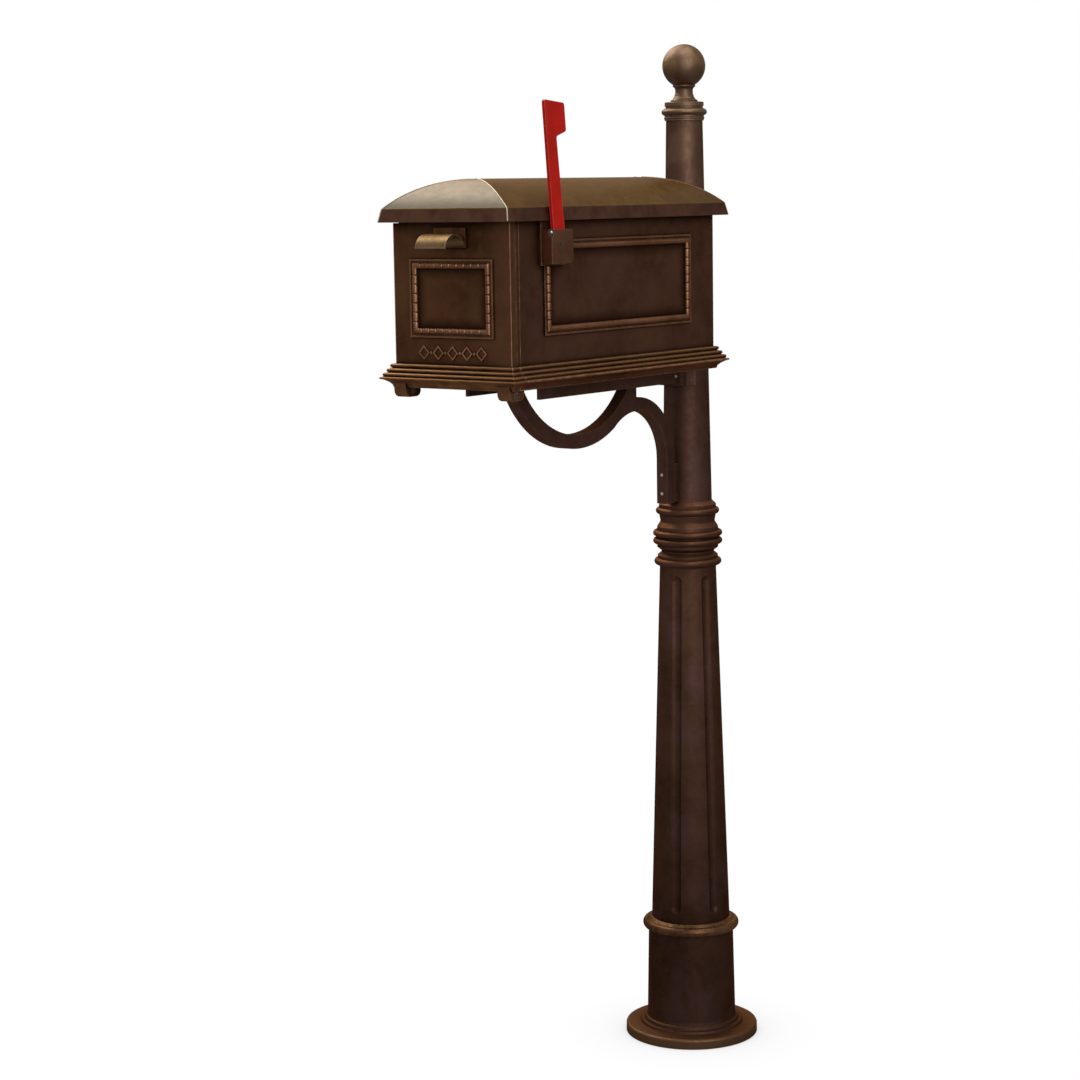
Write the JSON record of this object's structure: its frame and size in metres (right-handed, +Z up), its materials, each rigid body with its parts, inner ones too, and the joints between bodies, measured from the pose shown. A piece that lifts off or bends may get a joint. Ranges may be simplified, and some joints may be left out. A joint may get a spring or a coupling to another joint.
{
  "type": "curbside mailbox on post",
  "caption": "Cast mailbox with a curved hipped roof, drop-down door and signal flag, carried by a scroll bracket on a tapered fluted post with a round flange and ball finial.",
  "frame": {"origin": "centre of the flange's underside, on the post's axis", "axes": "+Z up along the post, -Y out through the box's door, +X to the signal flag's side"},
  "size_m": [0.2491, 0.7491, 1.608],
  "materials": {
    "dark_bronze": "oil-rubbed bronze powder coat, satin",
    "rubbed_copper": "oil-rubbed bronze with copper rubbed through, satin",
    "flag_red": "gloss red paint",
    "bright_steel": "stainless, bright",
    "zinc_steel": "zinc plated",
    "black_plastic": "matt black",
    "magnet": "ferrite, matt"
  },
  "bodies": {
    "post_and_box": {"anchor_plate": "zinc_steel", "base_casting": "dark_bronze", "base_ring": "rubbed_copper", "fluted_shaft": "dark_bronze", "capital": "dark_bronze", "upper_shaft": "dark_bronze", "post_cap": "rubbed_copper", "tie_rod": "zinc_steel", "rod_washer": "zinc_steel", "rod_nut": "zinc_steel", "ball_finial": "rubbed_copper", "scroll_bracket": "dark_bronze", "lower_saddle": "dark_bronze", "lower_saddle_screws": "bright_steel", "upper_saddle": "dark_bronze", "upper_saddle_screws": "bright_steel", "mounting_channel": "dark_bronze", "bracket_bolts": "zinc_steel", "box_bolts": "zinc_steel", "box_nuts": "zinc_steel", "base_tray": "dark_bronze", "front_frame": "dark_bronze", "left_wall": "dark_bronze", "right_wall": "dark_bronze", "back_wall": "dark_bronze", "roof": "rubbed_copper", "rear_cleats": "zinc_steel", "cleat_screws": "zinc_steel", "roof_screws": "zinc_steel", "left_bead": "rubbed_copper", "right_bead": "rubbed_copper", "flag_backplate": "dark_bronze", "flag_housing": "dark_bronze", "flag_pivot_screw": "bright_steel", "flag_stop_screw": "bright_steel", "flag_wave_washer": "zinc_steel", "flag_bolts": "zinc_steel", "catch_housing": "black_plastic", "catch_magnet": "magnet", "catch_screws": "zinc_steel", "hinge_screws": "bright_steel"},
    "door": {"door_panel": "dark_bronze", "door_bead": "rubbed_copper", "door_ornament": "rubbed_copper", "door_handle": "rubbed_copper", "handle_screws": "zinc_steel", "strike_plate": "zinc_steel", "strike_screws": "zinc_steel"},
    "signal_flag": {"flag": "flag_red"}
  },
  "joints": [
    {"name": "door_hinge", "type": "hinge", "parent": "post_and_box", "child": "door", "pos_m": [0, -0.584, 1.1], "axis": [1, 0, 0], "range_deg": [0, 95]},
    {"name": "flag_pivot", "type": "hinge", "parent": "post_and_box", "child": "signal_flag", "pos_m": [0.1205, -0.501, 1.309], "axis": [-1, 0, 0], "range_deg": [0, 95]}
  ]
}
